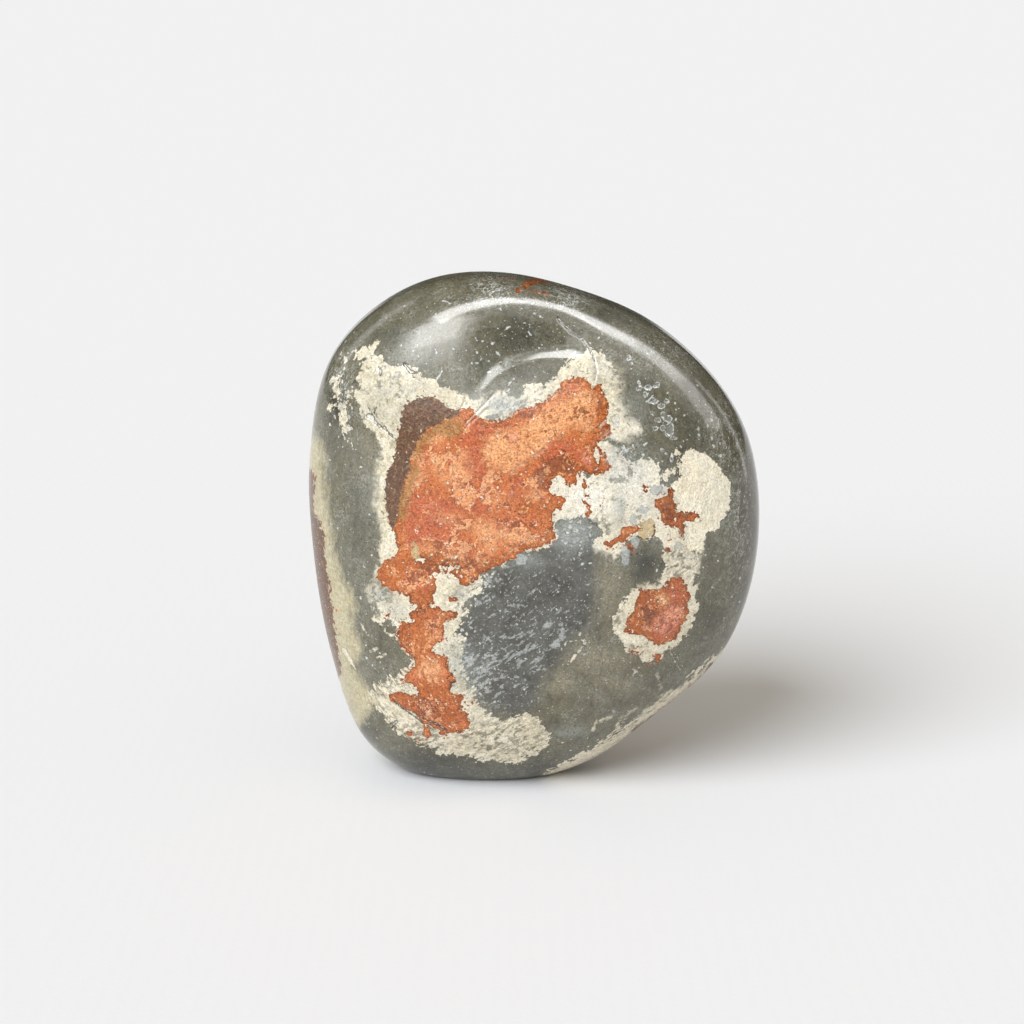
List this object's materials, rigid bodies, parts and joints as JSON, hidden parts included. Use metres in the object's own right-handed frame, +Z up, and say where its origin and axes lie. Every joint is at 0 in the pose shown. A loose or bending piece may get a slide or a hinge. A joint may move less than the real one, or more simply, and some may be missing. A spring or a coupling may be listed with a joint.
{
  "type": "shiva lingam stone",
  "caption": "Hand-polished freeform jasper, a flattened rounded block that stands on a small ground flat, grey-green with rust-orange, brown and cream markings.",
  "frame": {"origin": "on the surface that the stone stands on, under the middle of its bounding box", "axes": "+Z up, out of the ground flat through the crown; -Y out of the broad front cheek with the large rust patch; +X to the right as one looks at that cheek"},
  "size_m": [0.0746, 0.0406, 0.0849],
  "materials": {
    "polished_jasper": "polished grey-green jasper with rust-orange and brown patches in cream rims, fine pale specks, a few open pits and hairline cracks, and one dull rough cream patch"
  },
  "bodies": {
    "root": {"stone": "polished_jasper"}
  },
  "joints": []
}
